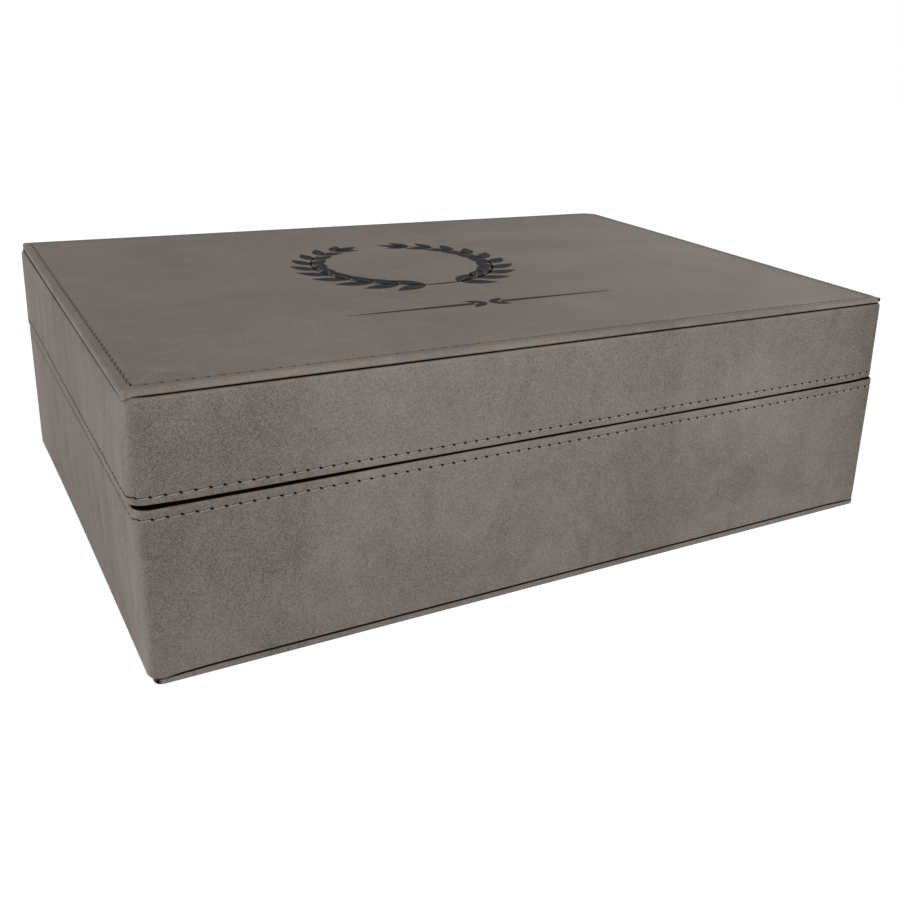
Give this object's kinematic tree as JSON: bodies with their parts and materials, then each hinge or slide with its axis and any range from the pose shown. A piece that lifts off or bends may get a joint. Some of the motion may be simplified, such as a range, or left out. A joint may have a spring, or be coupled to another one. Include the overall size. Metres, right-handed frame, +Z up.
{
  "type": "leatherette gift box",
  "caption": "Hinged keepsake box of fibreboard wrapped in grey stitched leatherette, with a flocked inside, magnets in the front rims and a thin panel on its lid.",
  "frame": {"origin": "on the ground under the middle of the box, bottom centre of its bounding box", "axes": "+X along the long side, to the right seen from the front; +Y from the front to the hinge; +Z up"},
  "size_m": [0.312, 0.2258, 0.097],
  "materials": {
    "leatherette": "warm grey suede-like leatherette, matt with a soft sheen",
    "fibreboard": "bare medium-density fibreboard",
    "card": "grey greyboard card",
    "flocked_lining": "black flocked velvet",
    "magnet": "nickel-plated magnet"
  },
  "bodies": {
    "base": {"base_front_board": "fibreboard", "base_back_board": "fibreboard", "base_left_board": "fibreboard", "base_right_board": "fibreboard", "base_floor_board": "fibreboard", "base_wrap": "leatherette", "bottom_board": "card", "bottom_cover": "leatherette", "base_front_lining": "flocked_lining", "base_back_lining": "flocked_lining", "base_left_lining": "flocked_lining", "base_right_lining": "flocked_lining", "base_floor_pad": "flocked_lining", "base_magnet_left": "magnet", "base_magnet_right": "magnet", "hinge_strip_base": "leatherette", "hinge_liner_base": "flocked_lining"},
    "lid": {"lid_front_board": "fibreboard", "lid_back_board": "fibreboard", "lid_left_board": "fibreboard", "lid_right_board": "fibreboard", "lid_top_board": "fibreboard", "lid_wrap": "leatherette", "top_panel_board": "card", "top_panel_cover": "leatherette", "lid_front_lining": "flocked_lining", "lid_back_lining": "flocked_lining", "lid_left_lining": "flocked_lining", "lid_right_lining": "flocked_lining", "lid_pad": "flocked_lining", "lid_magnet_left": "magnet", "lid_magnet_right": "magnet", "hinge_strip_lid": "leatherette", "hinge_liner_lid": "flocked_lining"}
  },
  "joints": [
    {"name": "lid_hinge", "type": "hinge", "parent": "base", "child": "lid", "pos_m": [0, 0.11265, 0.0602], "axis": [-1, 0, 0], "range_deg": [0, 100]}
  ]
}
